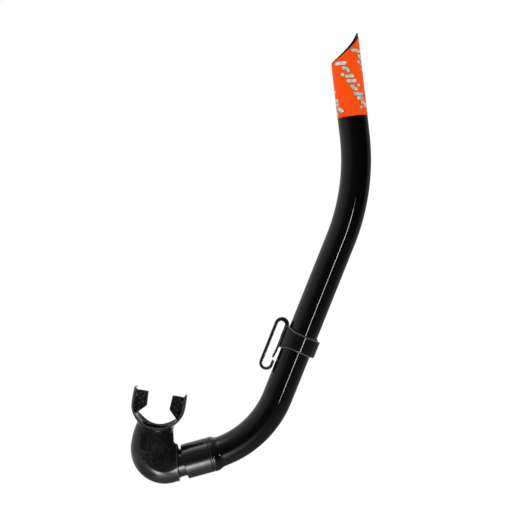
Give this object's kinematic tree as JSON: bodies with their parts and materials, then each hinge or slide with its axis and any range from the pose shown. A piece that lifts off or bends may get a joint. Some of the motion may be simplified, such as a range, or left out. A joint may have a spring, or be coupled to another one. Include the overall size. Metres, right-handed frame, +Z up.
{
  "type": "snorkel tube",
  "caption": "J-shaped snorkel with a slanted open tip, orange reflective band, sliding strap keeper and a swivelling soft mouthpiece.",
  "frame": {"origin": "centre of the keeper's strap slot, where the mask strap passes, with the keeper in its rest place", "axes": "+X away from the mouthpiece side and towards the barrel, +Y along the mask strap through the slot, +Z up towards the open tip; the bends lie in the XZ plane"},
  "size_m": [0.2141, 0.0344, 0.4005],
  "materials": {
    "barrel_black": "polished black PVC",
    "band_orange": "fluorescent orange film",
    "mark_silver": "silver retro-reflective foil",
    "coupling_black": "moulded black plastic, satin gloss",
    "seal_black": "matte rubber",
    "silicone_black": "finely pebbled silicone",
    "liner_black": "soft matte grip rubber",
    "keeper_black": "moulded black plastic"
  },
  "bodies": {
    "tube": {"barrel": "barrel_black", "reflective_band": "band_orange", "silver_marks": "mark_silver", "coupling": "coupling_black", "joint_ring": "coupling_black", "o_ring": "seal_black"},
    "mouth": {"mouthpiece": "silicone_black"},
    "liner": {"keeper_liner": "liner_black"},
    "keeper": {"strap_keeper": "keeper_black"}
  },
  "joints": [
    {"name": "keeper_slide", "type": "slide", "parent": "tube", "child": "liner", "axis": [0.3725, 0, 0.928], "range_m": [-0.015, 0.08]},
    {"name": "keeper_turn", "type": "hinge", "parent": "liner", "child": "keeper", "pos_m": [0.02318, 0, 0.00185], "axis": [0.3725, 0, 0.928], "continuous": true},
    {"name": "mouthpiece_swivel", "type": "hinge", "parent": "tube", "child": "mouth", "pos_m": [-0.09251, 0, -0.10867], "axis": [0.9646, 0, 0.2639], "continuous": true}
  ]
}
